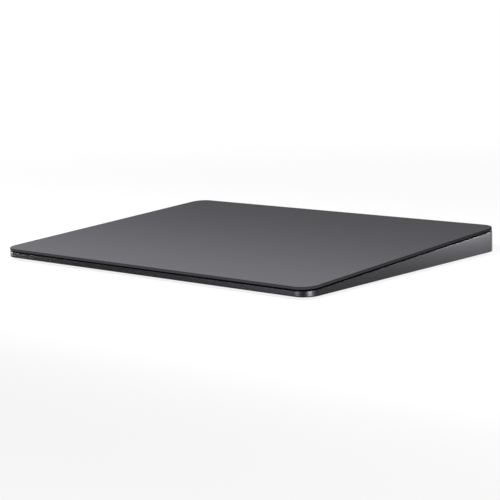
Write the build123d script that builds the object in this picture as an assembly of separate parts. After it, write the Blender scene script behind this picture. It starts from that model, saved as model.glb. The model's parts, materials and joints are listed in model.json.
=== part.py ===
from build123d import *
from math import atan2, cos, degrees, radians, sin
import os

# A wedge-shaped desktop touch pad: a matt glass surface that floats on four sprung corners
# over a shallow metal tub. Millimetres. The origin is the middle of the footprint on the desk,
# +X is to the user's right, +Y is away from the user and +Z is up.

# The whole object
overall_width = 160.0
overall_depth = 114.9
front_height = 4.9
rear_height = 10.9
corner_radius = 6.0
overrun = 2.0

# The surface: glass, its touch sensor sheet and the plate that stiffens both
glass_thickness = 1.05
glass_rear_setback = 0.35
glass_top_round = 0.32
glass_bottom_chamfer = 0.12
sheet_thickness = 0.3
sheet_inset = 2.6
plate_thickness = 0.5
plate_inset = 2.9
plate_corner_radius = 3.0
press_travel = 0.25
haptic_travel = 0.15

# The tub
foot_stand = 1.25
floor_thickness = 0.9
rim_gap = 0.55
rim_width = 1.0
rim_chamfer = 0.12
ledge_width = 0.9
case_edge_round = 1.0

# The dust seal on the tub's ledge
seal_depth = 0.45
seal_side_gap = 0.05
seal_top_gap = 0.05

# The feet
foot_radius = 6.5
foot_inset = 14.0
foot_recess = 0.35
foot_side_gap = 0.1
foot_round = 0.3

# The four corner springs, which carry the surface and measure the force on it
spring_thickness = 0.4
spring_wall_gap = 0.6
spring_inset = 12.0
spring_pad_length = 9.0
spring_pad_width = 9.0
spring_neck_width = 5.0
spring_reach = 12.5
tip_radius = 3.2
tip_margin = 1.0
tip_thickness = 0.3
stub_radius = 1.0
stub_gap = 0.03
gel_thickness = 0.35
gel_radius = 3.0
gauge_length = 3.6
gauge_width = 2.2
gauge_thickness = 0.1

# The screws of the springs and the haptic drive
screw_radius = 0.5
screw_head_radius = 1.1
screw_head_height = 0.35
screw_depth = 0.8
screw_hole_gap = 0.05
screw_spacing = 5.0
access_hole_radius = 2.0
drive_size = 0.7
drive_depth = 0.2

# The haptic drive
drive_plate_overhang = 4.0
drive_plate_margin = 2.5
drive_plate_thickness = 0.3
drive_floor_gap = 0.23
core_base_thickness = 0.4
core_pole_height = 0.8
core_end_margin = 1.88
core_side_margin = 1.38
pole_count = 3
pole_pitch = 22.0
pole_length = 12.0
pole_width = 4.0
coil_gap = 0.12
coil_wall = 3.0
coil_height = 0.65
magnet_gap = 0.35
armature_thickness = 0.5
armature_width = 11.0
drive_screw_inset = 2.2

# The battery
cell_ribbon_gap = 4.5
cell_drive_gap = 8.0
cell_surface_gap = 0.48
cell_round = 0.8
adhesive_thickness = 0.15
adhesive_width = 16.0
adhesive_inset = 8.0
guard_board_width = 34.0
guard_board_depth = 2.8
guard_board_thickness = 0.8
guard_board_gap = 0.3
guard_board_clearance = 1.95

# The logic board and what is soldered to it
board_spring_gap = 2.5
board_depth = 10.6
board_thickness = 0.8
board_lift = 1.0
board_wall_gap = 0.4
standoff_radius = 1.8
standoff_gap = 0.6
standoff_inset = 2.4
connector_depth = 2.2
connector_height = 1.0
connector_inset = 2.6
connector_gap = 1.2
connector_margin = 0.6
force_connector_width = 4.0
haptic_connector_width = 4.4
cell_connector_width = 6.0
sheet_connector_width = 15.0
sheet_connector_depth = 2.4
shield_width = 12.0
shield_depth = 7.4
shield_height = 1.5
shield_wall = 0.2
chip_height = 0.8
main_chip_size = 6.4
touch_chip_size = 5.4
charge_chip_size = 4.0
passive_length = 1.0
passive_width = 0.5
passive_height = 0.45
passive_pitch = 1.6
passive_count = 5
passive_bank_gap = 0.6
passive_row_pitch = 1.2
passive_rows = 2

# The charging port and its strap
port_width = 7.0
port_height = 1.8
port_wall = 0.35
port_depth = 7.6
port_back = 0.5
port_setback = 0.1
contact_width = 0.45
contact_pitch = 0.8
contact_count = 7
contact_thickness = 0.08
contact_length = 4.6
strap_thickness = 0.3
strap_flange = 2.6
strap_depth = 4.0
strap_gap = 0.05

# The aerial window round the port
window_width = 42.0
window_height = 3.8
window_radius = 1.85
window_port_gap = 0.1
aerial_thickness = 0.15
aerial_length = 14.0
aerial_gap = 1.2

# The power switch
switch_inset = 19.0
tray_wall = 0.5
tray_setback = 0.12
tray_radius = 1.3
recess_depth = 1.15
knob_length = 4.4
knob_height = 2.2
knob_setback = 0.15
knob_float = 0.25
knob_side_gap = 0.12
knob_radius = 0.9
knob_groove_width = 0.35
knob_groove_depth = 0.2
knob_groove_pitch = 0.8
knob_groove_count = 3
switch_travel = 2.4
stem_length = 1.2
stem_height = 0.8
stem_gap = 0.12
stem_engagement = 1.2
indicator_thickness = 0.1
indicator_margin = 0.25
module_side = 1.2
module_depth = 3.0
module_height = 2.6
module_wall_gap = 0.1

# The ribbon cables
ribbon_thickness = 0.15
ribbon_width = 2.5
ribbon_rise = 1.4
ribbon_spring_gap = 1.25
drive_ribbon_width = 3.0
sheet_ribbon_width = 13.0
sheet_ribbon_sway = 1.6
sheet_ribbon_bend = 0.5
sheet_slot_gap = 0.6


def spread(start, end, widths):
    """The middles of pieces that stand in a row between two places, with even gaps."""
    gap = (end - start - sum(widths)) / (len(widths) + 1)
    middles = []
    for width in widths:
        middles.append(start + gap + width / 2)
        start += gap + width
    return middles


# Places that follow from the sizes above
surface_run = overall_depth - glass_rear_setback
tilt = degrees(atan2(rear_height - front_height, surface_run))
surface_length = surface_run / cos(radians(tilt))
glass_bottom = -glass_thickness
sheet_bottom = glass_bottom - sheet_thickness
plate_bottom = sheet_bottom - plate_thickness
gel_bottom = plate_bottom - gel_thickness
tip_bottom = gel_bottom - tip_thickness
spring_bottom = tip_bottom - spring_thickness
rim_level = glass_bottom - rim_gap
ledge_level = rim_level - seal_depth
wall = rim_width + ledge_width
floor_top = foot_stand + floor_thickness
inner_width = overall_width - 2 * wall
rear_face = overall_depth / 2
inner_rear = rear_face - wall
board_rear = inner_rear - board_wall_gap
board_front = board_rear - board_depth
board_bottom = floor_top + board_lift
board_top = board_bottom + board_thickness
port_z = board_top + port_wall + port_height / 2
tip_x = overall_width / 2 - wall - spring_wall_gap - spring_pad_length / 2 - spring_reach
pad_x = tip_x + spring_reach
spring_rows = (spring_inset, surface_length - spring_inset)
corners = {
    "front_left": (-1, 0),
    "front_right": (1, 0),
    "rear_left": (-1, 1),
    "rear_right": (1, 1),
}
armature_bottom = plate_bottom - armature_thickness
core_top = armature_bottom - magnet_gap
core_base_top = core_top - core_pole_height
drive_plate_top = core_base_top - core_base_thickness
drive_plate_bottom = drive_plate_top - drive_plate_thickness
coil_side = coil_gap + coil_wall
core_length = (pole_count - 1) * pole_pitch + pole_length + 2 * (coil_side + core_end_margin)
core_width = pole_width + 2 * (coil_side + core_side_margin)
drive_plate_length = core_length + 2 * drive_plate_overhang
drive_plate_width = core_width + 2 * drive_plate_margin
drive_plate_depth = -drive_plate_bottom * cos(radians(tilt))
drive_start = (floor_top + drive_floor_gap + drive_plate_depth - front_height) / sin(radians(tilt))
drive_middle = drive_start + drive_plate_width / 2
drive_rear = (drive_start + drive_plate_width) * cos(radians(tilt)) - overall_depth / 2
board_width = 2 * (pad_x - spring_pad_length / 2 - board_spring_gap)
force_connector_x = board_width / 2 - connector_margin - force_connector_width / 2
haptic_connector_x = force_connector_x - (force_connector_width + haptic_connector_width) / 2 - connector_gap
standoff_x = haptic_connector_x - haptic_connector_width / 2 - standoff_gap - standoff_radius
strap_reach = port_width / 2 + port_wall + strap_gap + strap_thickness + strap_flange
board_row = (strap_reach, standoff_x - standoff_radius)
right_row = spread(*board_row, (main_chip_size, sheet_connector_width, touch_chip_size))
main_chip_x, sheet_connector_x, touch_chip_x = right_row
passive_bank_width = (passive_count - 1) * passive_pitch + passive_width
left_widths = (charge_chip_size, shield_width, cell_connector_width, passive_bank_width)
charge_chip_x, shield_x, cell_connector_x, left_bank_x = (-x for x in spread(*board_row, left_widths))
right_bank_reach = (passive_bank_width + passive_bank_gap) / 2
right_banks = (sheet_connector_x - right_bank_reach, sheet_connector_x + right_bank_reach)
cell_width = 2 * (haptic_connector_x - drive_ribbon_width / 2 - cell_ribbon_gap)
cell_front = drive_rear + cell_drive_gap
cell_rear = board_front - guard_board_clearance - guard_board_depth - guard_board_gap
plate_slope = sin(radians(tilt)) / cos(radians(tilt))
plate_over_cell = front_height + (cell_front + overall_depth / 2) * plate_slope + plate_bottom / cos(radians(tilt))
cell_thickness = plate_over_cell - cell_surface_gap - adhesive_thickness - floor_top
ribbon_front = spring_inset + tip_radius + tip_margin + ribbon_spring_gap - overall_depth / 2
switch_x = switch_inset - overall_width / 2
recess_length = knob_length + switch_travel + 2 * knob_side_gap
recess_height = knob_height + 2 * knob_side_gap
tray_length = recess_length + 2 * tray_wall
tray_height = recess_height + 2 * tray_wall
tray_front = rear_face - tray_setback
recess_floor = tray_front - recess_depth
knob_back = recess_floor + knob_float
knob_x = switch_x + switch_travel / 2
sheet_ribbon_y = board_rear - connector_inset


def block(x, y, z):
    """A box between (low, high) pairs on the three axes."""
    sizes = [high - low for low, high in (x, y, z)]
    middles = [(low + high) / 2 for low, high in (x, y, z)]
    return Pos(*middles) * Box(*sizes)


def around(middle, size):
    """The (low, high) pair of a size centred on a place."""
    return (middle - size / 2, middle + size / 2)


def slab(width, depth, radius, low, high):
    """An upright prism with rounded corners, centred on the origin."""
    return extrude(Pos(0, 0, low) * RectangleRounded(width, depth, radius), high - low)


def disc(radius, low, high):
    """An upright cylinder on the origin, between two heights."""
    return Pos(0, 0, (low + high) / 2) * Cylinder(radius, high - low)


def pill(x, z, length, height, radius, low, high):
    """A prism along Y whose section is a rounded rectangle seen from the rear."""
    face = Plane(origin=(x, low, z), x_dir=(-1, 0, 0), z_dir=(0, 1, 0))
    return extrude(face * RectangleRounded(length, height, radius), high - low)


def on_surface(shape):
    """Places a shape drawn on the glass top: Y runs up the slope from the front edge, Z is its normal."""
    return Pos(0, -overall_depth / 2, front_height) * Rot(tilt, 0, 0) * shape


def spring_place(side, row):
    """Where a corner spring's tip lies on the surface, with +X pointing to its fixed end."""
    turn = 0 if side > 0 else 180
    return Pos(side * tip_x, spring_rows[row], 0) * Rot(0, 0, turn)


def pad_screw_places(side, row):
    """The two screws through a spring's fixed end."""
    return [spring_place(side, row) * Pos(spring_reach, s * screw_spacing / 2, 0) for s in (-1, 1)]


def drive_screw_places():
    """The four screws of the haptic drive's plate."""
    x = drive_plate_length / 2 - drive_screw_inset
    y = drive_plate_width / 2 - drive_screw_inset
    return [Pos(i * x, drive_middle + j * y, 0) for i in (-1, 1) for j in (-1, 1)]


def standoff_places():
    """The four standoffs of the logic board."""
    front = board_front + standoff_inset
    rear = board_rear - standoff_inset
    return [Pos(i * standoff_x, y, 0) for i in (-1, 1) for y in (front, rear)]


def screw(seat):
    """A flat-headed screw whose head sits on the plane Z = seat."""
    head = disc(screw_head_radius, seat, seat + screw_head_height)
    shank = disc(screw_radius, seat - spring_thickness - screw_depth, seat)
    socket = disc(drive_size / 2, seat + screw_head_height - drive_depth, seat + screw_head_height)
    return head + shank - socket


def screw_hole(seat):
    """The clearance hole of such a screw."""
    depth = spring_thickness + screw_depth + screw_hole_gap
    return disc(screw_radius + screw_hole_gap, seat - depth, seat + overrun)


def group(shapes):
    """Separate solids of one node."""
    return Compound(children=[s for shape in shapes for s in shape.solids()])


# The surface, which moves

def make_glass():
    outline = slab(overall_width, surface_length, corner_radius, glass_bottom, 0)
    outline = fillet(outline.faces().sort_by(Axis.Z)[-1].edges(), glass_top_round)
    outline = chamfer(outline.faces().sort_by(Axis.Z)[0].edges(), glass_bottom_chamfer)
    return on_surface(Pos(0, surface_length / 2, 0) * outline)


def make_sensor_sheet():
    width = overall_width - 2 * sheet_inset
    length = surface_length - 2 * sheet_inset
    sheet = slab(width, length, plate_corner_radius, sheet_bottom, glass_bottom)
    return on_surface(Pos(0, surface_length / 2, 0) * sheet)


def make_stiffener_plate():
    width = overall_width - 2 * plate_inset
    length = surface_length - 2 * plate_inset
    plate = Pos(0, surface_length / 2, 0) * slab(width, length, plate_corner_radius, plate_bottom, sheet_bottom)
    for side, row in corners.values():
        for place in pad_screw_places(side, row):
            plate -= place * disc(access_hole_radius, plate_bottom - overrun, sheet_bottom)
    slot_y = (sheet_ribbon_y + overall_depth / 2) / cos(radians(tilt))
    slot_x = around(sheet_connector_x, sheet_ribbon_width + 2 * sheet_slot_gap)
    slot_y = around(slot_y, ribbon_thickness + 2 * sheet_slot_gap)
    plate -= block(slot_x, slot_y, (plate_bottom - overrun, sheet_bottom))
    return on_surface(plate)


def make_armature():
    return on_surface(
        block(
            around(0, core_length),
            around(drive_middle, armature_width),
            (armature_bottom, plate_bottom),
        )
    )


def make_gel_pad(side, row):
    return on_surface(spring_place(side, row) * disc(gel_radius, gel_bottom, plate_bottom))


def make_spring_tip(side, row):
    tip = disc(tip_radius, tip_bottom, gel_bottom) + disc(stub_radius, spring_bottom, tip_bottom)
    return on_surface(spring_place(side, row) * tip)


# The tub and what stays still on it

def make_spring(side, row):
    pad = block(around(spring_reach, spring_pad_length), around(0, spring_pad_width), (spring_bottom, tip_bottom))
    neck = block((0, spring_reach), around(0, spring_neck_width), (spring_bottom, tip_bottom))
    eye = disc(tip_radius + tip_margin, spring_bottom, tip_bottom)
    spring = pad + neck + eye - disc(stub_radius + stub_gap, spring_bottom - overrun, tip_bottom + overrun)
    for s in (-1, 1):
        spring -= Pos(spring_reach, s * screw_spacing / 2, 0) * screw_hole(tip_bottom)
    return on_surface(spring_place(side, row) * spring)


def make_gauges():
    neck_middle = (tip_radius + tip_margin + spring_reach - spring_pad_length / 2) / 2
    gauge = block(
        around(neck_middle, gauge_length),
        around(0, gauge_width),
        (tip_bottom, tip_bottom + gauge_thickness),
    )
    return group([on_surface(spring_place(*corner) * gauge) for corner in corners.values()])


def make_spring_screws():
    places = [p for corner in corners.values() for p in pad_screw_places(*corner)]
    return group([on_surface(place * screw(tip_bottom)) for place in places])


def make_case():
    outer = slab(overall_width, overall_depth, corner_radius, foot_stand, rear_height)
    outer = fillet(outer.faces().sort_by(Axis.Z)[0].edges(), case_edge_round)
    above = (rim_level, rim_level + rear_height)
    outer -= on_surface(block(around(0, 2 * overall_width), around(0, 3 * overall_depth), above))
    outer = chamfer(outer.faces().sort_by(Axis.Z)[-1].edges(), rim_chamfer)

    cavity = slab(inner_width, overall_depth - 2 * wall, corner_radius - wall, floor_top, rear_height)
    rim_radius = corner_radius - rim_width
    mouth = slab(overall_width - 2 * rim_width, overall_depth - 2 * rim_width, rim_radius, 0, rear_height)
    over_ledge = (ledge_level, rear_height)
    mouth &= on_surface(block(around(0, 2 * overall_width), around(0, 3 * overall_depth), over_ledge))

    pads = None
    for side, row in corners.values():
        pad_size = (around(spring_reach, spring_pad_length), around(0, spring_pad_width))
        pad = on_surface(spring_place(side, row) * block(*pad_size, (-rear_height, spring_bottom)))
        pads = pad if pads is None else pads + pad
    drive = on_surface(
        block(
            around(0, drive_plate_length),
            around(drive_middle, drive_plate_width),
            (-rear_height, drive_plate_bottom),
        )
    )
    case = outer - (cavity - pads - drive) - mouth
    for place in standoff_places():
        case += place * disc(standoff_radius, floor_top - floor_thickness / 2, board_bottom)

    for side, row in corners.values():
        for place in pad_screw_places(side, row):
            case -= on_surface(place * screw_hole(tip_bottom))
    for place in drive_screw_places():
        case -= on_surface(place * screw_hole(drive_plate_top))
    for place in standoff_places():
        case -= place * screw_hole(board_top)
    for x, y in foot_places().values():
        recess = disc(foot_radius + foot_side_gap, 0, foot_stand + foot_recess)
        case -= Pos(x, y, 0) * recess
    through = (inner_rear - overrun, rear_face + overrun)
    case -= pill(0, port_z, window_width, window_height, window_radius, *through)
    case -= pill(switch_x, port_z, tray_length, tray_height, tray_radius, *through)
    return case


def foot_places():
    x = overall_width / 2 - foot_inset
    y = overall_depth / 2 - foot_inset
    return {name: (side * x, (2 * row - 1) * y) for name, (side, row) in corners.items()}


def make_foot(x, y):
    pad = disc(foot_radius, 0, foot_stand + foot_recess)
    pad = fillet(pad.faces().sort_by(Axis.Z)[0].edges(), foot_round)
    return Pos(x, y, 0) * pad


def make_seal():
    seal_top = glass_bottom - press_travel - seal_top_gap
    inset = rim_width + seal_side_gap
    radius = corner_radius - inset
    ring = slab(overall_width - 2 * inset, overall_depth - 2 * inset, radius, 0, rear_height)
    ring -= slab(inner_width, overall_depth - 2 * wall, corner_radius - wall, 0, rear_height)
    band = block(around(0, 2 * overall_width), around(0, 3 * overall_depth), (ledge_level, seal_top))
    return ring & on_surface(band)


# The haptic drive

def pole_xs():
    return [(i - (pole_count - 1) / 2) * pole_pitch for i in range(pole_count)]


def make_drive_plate():
    plate = block(
        around(0, drive_plate_length),
        around(drive_middle, drive_plate_width),
        (drive_plate_bottom, drive_plate_top),
    )
    for place in drive_screw_places():
        plate -= place * screw_hole(drive_plate_top)
    return on_surface(plate)


def make_core():
    core = block(
        around(0, core_length), around(drive_middle, core_width), (drive_plate_top, core_base_top)
    )
    for x in pole_xs():
        core += block(around(x, pole_length), around(drive_middle, pole_width), (core_base_top, core_top))
    return on_surface(core)


def make_coils():
    coils = []
    for x in pole_xs():
        inner = (pole_length + 2 * coil_gap, pole_width + 2 * coil_gap)
        outer = (inner[0] + 2 * coil_wall, inner[1] + 2 * coil_wall)
        height = (core_base_top, core_base_top + coil_height)
        coil = slab(*outer, coil_wall, *height) - slab(*inner, coil_gap, *height)
        coils.append(on_surface(Pos(x, drive_middle, 0) * coil))
    return group(coils)


def make_drive_screws():
    return group([on_surface(place * screw(drive_plate_top)) for place in drive_screw_places()])


# The battery

def cell_y():
    return (cell_front, cell_rear)


def make_cell():
    low = floor_top + adhesive_thickness
    cell = block(around(0, cell_width), cell_y(), (low, low + cell_thickness))
    return fillet(cell.edges(), cell_round)


def make_adhesive():
    strips = []
    for side in (-1, 1):
        x = side * (cell_width / 2 - adhesive_inset - adhesive_width / 2)
        y = (cell_front + cell_round, cell_rear - cell_round)
        strips.append(block(around(x, adhesive_width), y, (floor_top, floor_top + adhesive_thickness)))
    return group(strips)


def guard_board_y():
    low = cell_rear + guard_board_gap
    return (low, low + guard_board_depth)


def make_guard_board():
    x = around(cell_connector_x, guard_board_width)
    return block(x, guard_board_y(), (floor_top, floor_top + guard_board_thickness))


# The logic board

def board_part(x, y, width, depth, height):
    """Something soldered to the top of the board, centred on x and y."""
    return block(around(x, width), around(y, depth), (board_top, board_top + height))


def front_connector_y():
    return board_front + connector_inset


def make_board():
    board = block(around(0, board_width), (board_front, board_rear), (board_bottom, board_top))
    for place in standoff_places() + strap_screw_places():
        board -= place * screw_hole(board_top)
    return board


def make_board_screws():
    return group([place * screw(board_top) for place in standoff_places()])


def make_connector(x, width):
    return board_part(x, front_connector_y(), width, connector_depth, connector_height)


def make_sheet_connector():
    return board_part(
        sheet_connector_x, sheet_ribbon_y, sheet_connector_width, sheet_connector_depth, connector_height
    )


def make_shield():
    middle = (board_front + board_rear) / 2
    can = board_part(shield_x, middle, shield_width, shield_depth, shield_height)
    can = fillet(can.edges().filter_by(Axis.Z), 2 * shield_wall)
    hollow = (shield_width - 2 * shield_wall, shield_depth - 2 * shield_wall, shield_height - shield_wall)
    return can - board_part(shield_x, middle, *hollow)


def make_chip(x, size):
    return board_part(x, (board_front + board_rear) / 2, size, size, chip_height)


def make_passives():
    parts = []
    for bank_x in (left_bank_x, *right_banks):
        for i in range(passive_count):
            for row in range(passive_rows):
                x = bank_x + (i - (passive_count - 1) / 2) * passive_pitch
                y = board_front + passive_width + row * passive_row_pitch
                parts.append(board_part(x, y, passive_width, passive_length, passive_height))
    return group(parts)


# The charging port

def port_back_y():
    return rear_face - port_setback - port_depth


def make_port_shell():
    outer = (port_width + 2 * port_wall, port_height + 2 * port_wall)
    rear = rear_face - port_setback
    shell = pill(0, port_z, *outer, outer[1] / 2 - port_wall / 2, port_back_y(), rear)
    bore_radius = port_height / 2 - port_wall / 2
    bore = pill(0, port_z, port_width, port_height, bore_radius, port_back_y() + port_back, rear + overrun)
    return shell - bore


def make_port_contacts():
    contacts = []
    y_low = port_back_y() + port_back
    for side in (-1, 1):
        wall_z = port_z + side * port_height / 2
        z = sorted((wall_z, wall_z - side * contact_thickness))
        for i in range(contact_count):
            x = (i - (contact_count - 1) / 2) * contact_pitch
            contacts.append(block(around(x, contact_width), (y_low, y_low + contact_length), z))
    return group(contacts)


def strap_y():
    low = port_back_y() + port_back
    return (low, low + strap_depth)


def strap_half_width():
    return port_width / 2 + port_wall + strap_gap


def make_port_strap():
    half = strap_half_width()
    top = port_z + port_height / 2 + port_wall + strap_gap
    legs = half + strap_thickness
    strap = block((-legs, legs), strap_y(), (board_top, top + strap_thickness))
    strap -= block((-half, half), strap_y(), (board_top, top))
    for side in (-1, 1):
        x = sorted((side * legs, side * (legs + strap_flange)))
        strap += block(x, strap_y(), (board_top, board_top + strap_thickness))
    for place in strap_screw_places():
        strap -= place * screw_hole(board_top + strap_thickness)
    return strap


def strap_screw_places():
    x = strap_half_width() + strap_thickness + strap_flange / 2
    return [Pos(side * x, sum(strap_y()) / 2, 0) for side in (-1, 1)]


def make_strap_screws():
    return group([place * screw(board_top + strap_thickness) for place in strap_screw_places()])


def make_window():
    window = pill(0, port_z, window_width, window_height, window_radius, inner_rear, rear_face)
    hole_width = port_width + 2 * port_wall + 2 * window_port_gap
    hole_height = port_height + 2 * port_wall + 2 * window_port_gap
    hole_radius = hole_height / 2 - port_wall / 2
    hole = pill(0, port_z, hole_width, hole_height, hole_radius, inner_rear - overrun, rear_face + overrun)
    return window - hole


def make_aerial():
    x_low = strap_half_width() + aerial_gap
    y = (inner_rear - aerial_thickness, inner_rear)
    z = around(port_z, window_height - window_radius)
    return block((x_low, x_low + aerial_length), y, z)


# The power switch

def make_tray():
    tray = pill(switch_x, port_z, tray_length, tray_height, tray_radius, inner_rear, tray_front)
    tray -= pill(switch_x, port_z, recess_length, recess_height, knob_radius, recess_floor, rear_face)
    slot_length = stem_length + switch_travel + 2 * stem_gap
    slot_height = stem_height + 2 * stem_gap
    tray -= block(
        around(switch_x, slot_length), (inner_rear - overrun, rear_face), around(port_z, slot_height)
    )
    return tray


def make_knob():
    knob = pill(knob_x, port_z, knob_length, knob_height, knob_radius, knob_back, rear_face - knob_setback)
    groove_y = (rear_face - knob_setback - knob_groove_depth, rear_face)
    for i in range(knob_groove_count):
        x = knob_x + (i - (knob_groove_count - 1) / 2) * knob_groove_pitch
        knob -= block(around(x, knob_groove_width), groove_y, around(port_z, knob_height - 2 * knob_radius / 3))
    stem_y = (inner_rear - module_wall_gap - stem_engagement, knob_back)
    return knob + block(around(knob_x, stem_length), stem_y, around(port_z, stem_height))


def make_indicator():
    """The coloured patch that the knob uncovers when it slides to on."""
    slot_end = switch_x + stem_length / 2 + switch_travel / 2 + stem_gap
    x = (slot_end + indicator_margin / 2, switch_x + recess_length / 2 - indicator_margin)
    z = around(port_z, recess_height - 2 * indicator_margin)
    return block(x, (recess_floor, recess_floor + indicator_thickness), z)


def make_module():
    length = stem_length + switch_travel + 2 * module_side
    rear = inner_rear - module_wall_gap
    module = block(around(switch_x, length), (rear - module_depth, rear), (board_top, board_top + module_height))
    slot_length = stem_length + switch_travel + 2 * stem_gap
    slot_y = (rear - stem_engagement - stem_gap, rear + overrun)
    module -= block(around(switch_x, slot_length), slot_y, around(port_z, stem_height + 2 * stem_gap))
    return module


# The ribbon cables

def strip(points, x, width):
    """A ribbon of even thickness along points of the YZ plane, centred on x."""
    path = Polyline(*[(y, z) for y, z in points])
    section = trace(path, ribbon_thickness)
    return extrude(Plane.YZ.offset(x - width / 2) * section, width)


def rise_to_board(x, width, start, end):
    """A ribbon that lies on the floor of the tub, climbs to the board and ends at a connector."""
    low = floor_top + ribbon_thickness / 2
    high = board_top + ribbon_thickness / 2
    foot = board_front - ribbon_rise
    points = [(start, low), (foot, low), (board_front - ribbon_thickness, high), (end, high)]
    return strip(points, x, width)


def make_force_ribbon(side):
    end = front_connector_y() - connector_depth / 2
    return rise_to_board(side * force_connector_x, ribbon_width, ribbon_front, end)


def make_drive_ribbon():
    end = front_connector_y() - connector_depth / 2
    corner_y = cell_front - drive_ribbon_width
    run = rise_to_board(haptic_connector_x, drive_ribbon_width, corner_y, end)
    side = (drive_plate_length / 2, haptic_connector_x + drive_ribbon_width / 2)
    across = block(side, (corner_y - drive_ribbon_width, corner_y), (floor_top, floor_top + ribbon_thickness))
    return run + across


def make_cell_ribbon():
    low = floor_top + guard_board_thickness + ribbon_thickness / 2
    high = board_top + ribbon_thickness / 2
    start = sum(guard_board_y()) / 2
    end = front_connector_y() - connector_depth / 2
    points = [(start, low), (guard_board_y()[1], low), (board_front - ribbon_thickness, high), (end, high)]
    return strip(points, cell_connector_x, cell_connector_width / 2)


def make_sheet_ribbon():
    """The flexible tail of the sensor sheet, slack enough to follow the surface."""
    y = sheet_ribbon_y
    low = board_top + connector_height
    run = y + overall_depth / 2
    high = front_height + sheet_bottom / cos(radians(tilt)) + run * sin(radians(tilt)) / cos(radians(tilt))
    third = (high - low) / 4
    points = [(y, low), (y, low + third), (y - sheet_ribbon_sway, (low + high) / 2), (y, high - third), (y, high)]
    path = FilletPolyline(*points, radius=sheet_ribbon_bend)
    section = trace(path, ribbon_thickness)
    tail = extrude(Plane.YZ.offset(sheet_connector_x - sheet_ribbon_width / 2) * section, sheet_ribbon_width)
    under_sheet = block(around(0, 2 * overall_width), around(0, 3 * overall_depth), (-2 * rear_height, sheet_bottom))
    return tail & on_surface(under_sheet)


parts = {
    "glass_plate": make_glass(),
    "sensor_sheet": make_sensor_sheet(),
    "stiffener_plate": make_stiffener_plate(),
    "armature_plate": make_armature(),
    "lower_case": make_case(),
    "edge_seal": make_seal(),
    "force_gauges": make_gauges(),
    "spring_screws": make_spring_screws(),
    "drive_plate": make_drive_plate(),
    "drive_core": make_core(),
    "drive_coils": make_coils(),
    "drive_screws": make_drive_screws(),
    "battery_cell": make_cell(),
    "battery_adhesive": make_adhesive(),
    "battery_guard_board": make_guard_board(),
    "logic_board": make_board(),
    "board_screws": make_board_screws(),
    "battery_connector": make_connector(cell_connector_x, cell_connector_width),
    "drive_connector": make_connector(haptic_connector_x, haptic_connector_width),
    "sensor_connector": make_sheet_connector(),
    "radio_shield": make_shield(),
    "main_chip": make_chip(main_chip_x, main_chip_size),
    "touch_chip": make_chip(touch_chip_x, touch_chip_size),
    "charge_chip": make_chip(charge_chip_x, charge_chip_size),
    "board_passives": make_passives(),
    "port_shell": make_port_shell(),
    "port_contacts": make_port_contacts(),
    "port_strap": make_port_strap(),
    "strap_screws": make_strap_screws(),
    "aerial_window": make_window(),
    "aerial_strip": make_aerial(),
    "switch_tray": make_tray(),
    "switch_knob": make_knob(),
    "switch_indicator": make_indicator(),
    "switch_module": make_module(),
    "drive_ribbon": make_drive_ribbon(),
    "battery_ribbon": make_cell_ribbon(),
    "sensor_ribbon": make_sheet_ribbon(),
}
for name, (side, row) in corners.items():
    parts["force_spring_" + name] = make_spring(side, row)
    parts["spring_tip_" + name] = make_spring_tip(side, row)
    parts["gel_pad_" + name] = make_gel_pad(side, row)
    parts["foot_" + name] = make_foot(*foot_places()[name])
for name, side in (("left", -1), ("right", 1)):
    parts["force_ribbon_" + name] = make_force_ribbon(side)
    parts["force_connector_" + name] = make_connector(side * force_connector_x, force_connector_width)

os.makedirs("parts", exist_ok=True)
for name, shape in parts.items():
    export_step(shape, f"parts/{name}.step")
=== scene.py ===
import json
from math import atan2, cos, pi, radians, sin, tan

import bmesh
import bpy
from mathutils import Matrix, Vector

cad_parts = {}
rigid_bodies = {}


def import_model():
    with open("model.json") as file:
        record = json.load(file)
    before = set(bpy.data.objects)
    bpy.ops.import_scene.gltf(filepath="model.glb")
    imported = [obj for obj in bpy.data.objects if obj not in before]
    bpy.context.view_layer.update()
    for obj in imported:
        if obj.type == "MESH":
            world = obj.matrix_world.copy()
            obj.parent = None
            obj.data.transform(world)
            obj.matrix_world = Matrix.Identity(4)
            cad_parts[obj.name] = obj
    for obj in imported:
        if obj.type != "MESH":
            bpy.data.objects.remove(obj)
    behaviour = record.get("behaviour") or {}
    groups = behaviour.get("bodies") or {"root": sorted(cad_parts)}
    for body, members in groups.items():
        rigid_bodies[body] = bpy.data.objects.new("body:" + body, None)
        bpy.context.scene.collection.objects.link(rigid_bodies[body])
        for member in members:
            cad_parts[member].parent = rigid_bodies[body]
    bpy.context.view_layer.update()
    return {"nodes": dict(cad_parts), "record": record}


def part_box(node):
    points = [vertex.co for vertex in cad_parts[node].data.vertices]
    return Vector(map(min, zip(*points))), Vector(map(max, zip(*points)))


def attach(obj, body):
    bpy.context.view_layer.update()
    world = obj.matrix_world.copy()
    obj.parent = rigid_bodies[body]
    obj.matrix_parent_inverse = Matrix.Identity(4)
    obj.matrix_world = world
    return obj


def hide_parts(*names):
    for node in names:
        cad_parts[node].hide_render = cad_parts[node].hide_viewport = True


for left_over in list(bpy.data.objects):
    bpy.data.objects.remove(left_over)
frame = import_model()

bl_info = {
    "name": "Glass-topped touch pad",
    "version": (1, 0, 0),
    "blender": (4, 5, 0),
    "location": "3D View > Sidebar > Touch pad",
    "description": "Models and paints the visible pieces of a touch pad round its packed solids",
    "category": "Object",
}

CORNERS = ("front_left", "front_right", "rear_left", "rear_right")
HAIR = 1e-5
PROUD = 0.001

# The seats and standoffs in the tub
SEAT_LENGTH = 0.009
SEAT_BOTTOM, SEAT_TOP = 0.00195, 0.012
SPRING_SEAT_DEPTH, DRIVE_SEAT_DEPTH = 0.0029, 0.0042
SCREW_HEAD_RADIUS, POST_RADIUS = 0.0011, 0.0018

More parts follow.
